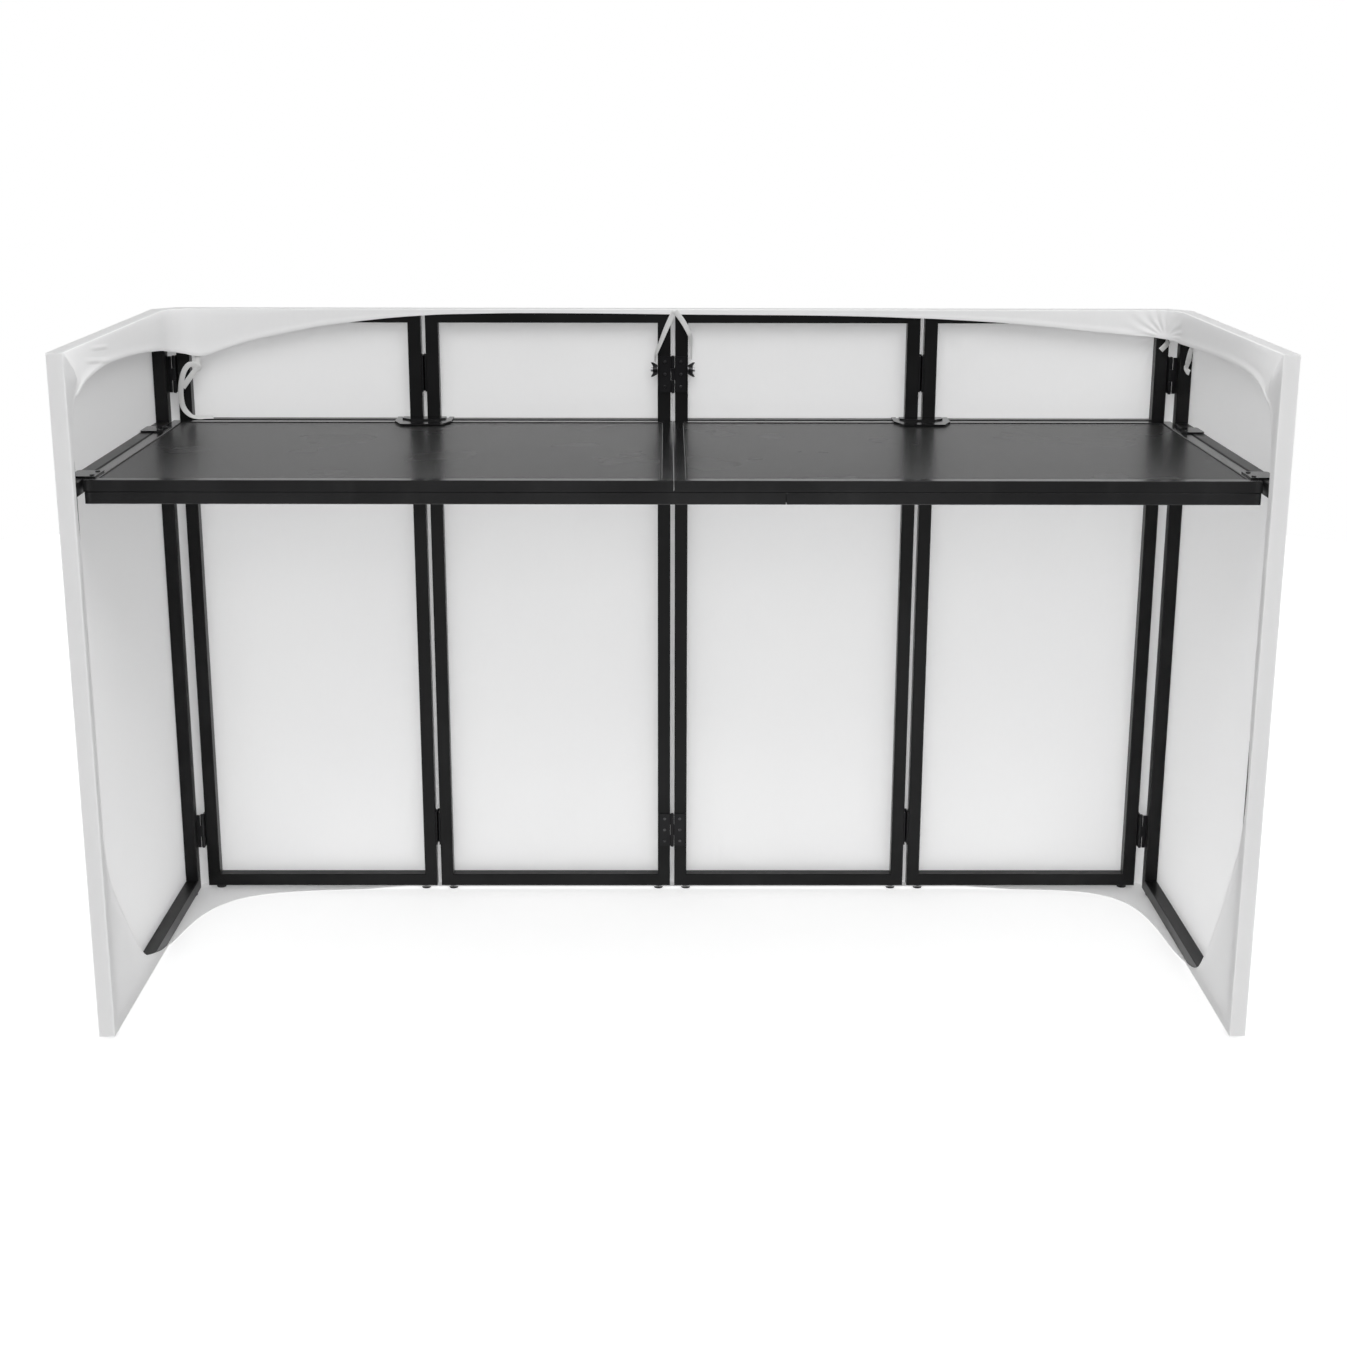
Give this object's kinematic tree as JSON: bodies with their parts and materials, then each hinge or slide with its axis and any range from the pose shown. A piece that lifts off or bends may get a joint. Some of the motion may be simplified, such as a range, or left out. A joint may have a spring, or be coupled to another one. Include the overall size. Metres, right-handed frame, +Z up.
{
  "type": "dj booth",
  "caption": "Folding DJ booth of hinged black tube panels under a white stretch cover, with a lift-in two-part perforated table held by tabs and rear catches",
  "frame": {"origin": "middle of the booth's footprint, on the floor", "axes": "+X along the front panels to the DJ's right, +Y from the DJ towards the audience, +Z up"},
  "size_m": [2.0094, 0.7502, 1.1982],
  "materials": {
    "frame_black": "satin powder coat",
    "table_black": "semi-gloss powder coat",
    "hinge_black": "black oxide",
    "zinc_steel": "zinc plated",
    "black_hardware": "blackened steel",
    "foot_rubber": "matte",
    "white_stretch_cloth": "matte knitted",
    "white_tape": "woven tape"
  },
  "bodies": {
    "center": {"center_left_panel_frame": "frame_black", "center_right_panel_frame": "frame_black", "center_left_feet": "foot_rubber", "center_right_feet": "foot_rubber", "left_fold_hinge_center_leaves": "hinge_black", "right_fold_hinge_center_leaves": "hinge_black", "left_fold_hinge_pins": "zinc_steel", "right_fold_hinge_pins": "zinc_steel", "center_hinge_left_leaves": "hinge_black", "center_hinge_right_leaves": "hinge_black", "center_hinge_pins": "zinc_steel", "lock_stud": "zinc_steel", "center_cover": "white_stretch_cloth", "center_tie": "white_tape"},
    "wing_left": {"left_panel_frame": "frame_black", "left_panel_feet": "foot_rubber", "left_fold_hinge_wing_leaves": "hinge_black", "left_corner_hinge_panel_leaves": "hinge_black", "left_corner_hinge_pins": "zinc_steel", "left_panel_cover": "white_stretch_cloth", "left_corner_cover": "white_stretch_cloth", "left_corner_tie": "white_tape"},
    "side_left": {"left_side_frame": "frame_black", "left_side_feet": "foot_rubber", "left_corner_hinge_side_leaves": "hinge_black", "left_side_cover": "white_stretch_cloth"},
    "table_left": {"left_table_frame": "table_black", "left_table_top": "table_black", "left_table_beam": "table_black", "left_table_side_tabs": "table_black", "left_table_catch": "table_black"},
    "nut_left": {"left_wing_nut": "black_hardware"},
    "wing_right": {"right_panel_frame": "frame_black", "right_panel_feet": "foot_rubber", "right_fold_hinge_wing_leaves": "hinge_black", "right_corner_hinge_panel_leaves": "hinge_black", "right_corner_hinge_pins": "zinc_steel", "right_panel_cover": "white_stretch_cloth", "right_corner_cover": "white_stretch_cloth", "right_corner_tie": "white_tape"},
    "side_right": {"right_side_frame": "frame_black", "right_side_feet": "foot_rubber", "right_corner_hinge_side_leaves": "hinge_black", "right_side_cover": "white_stretch_cloth"},
    "table_right": {"right_table_frame": "table_black", "right_table_top": "table_black", "right_table_beam": "table_black", "right_table_side_tabs": "table_black", "right_table_catch": "table_black"},
    "nut_right": {"right_wing_nut": "black_hardware"}
  },
  "joints": [
    {"name": "left_fold", "type": "hinge", "parent": "center", "child": "wing_left", "pos_m": [-0.485, 0.3716, 0.6], "axis": [0, 0, -1], "range_deg": [0, 160]},
    {"name": "left_side_fold", "type": "hinge", "parent": "wing_left", "child": "side_left", "pos_m": [-0.969, 0.3356, 0.6], "axis": [0, 0, 1], "range_deg": [0, 80], "deforming": ["left_corner_cover"]},
    {"name": "right_fold", "type": "hinge", "parent": "center", "child": "wing_right", "pos_m": [0.485, 0.3716, 0.6], "axis": [0, 0, 1], "range_deg": [0, 160]},
    {"name": "right_side_fold", "type": "hinge", "parent": "wing_right", "child": "side_right", "pos_m": [0.969, 0.3356, 0.6], "axis": [0, 0, -1], "range_deg": [0, 80], "deforming": ["right_corner_cover"]},
    {"name": "right_table_lift", "type": "slide", "parent": "center", "child": "table_right", "axis": [0, 0, 1], "range_m": [0, 0.1]},
    {"name": "left_table_lift", "type": "slide", "parent": "center", "child": "table_left", "axis": [0, 0, 1], "range_m": [0, 0.06]},
    {"name": "left_nut_turn", "type": "hinge", "parent": "center", "child": "nut_left", "pos_m": [-0.036, 0.3541, 1.081], "axis": [1, 0, 0], "continuous": true},
    {"name": "right_nut_turn", "type": "hinge", "parent": "center", "child": "nut_right", "pos_m": [0.036, 0.3541, 1.081], "axis": [1, 0, 0], "continuous": true}
  ],
  "couplings": [
    {"joint": "left_side_fold", "follows": "left_fold", "ratio": 0.5},
    {"joint": "right_side_fold", "follows": "right_fold", "ratio": 0.5},
    {"joint": "left_table_lift", "follows": "right_table_lift", "ratio": 0.6}
  ]
}
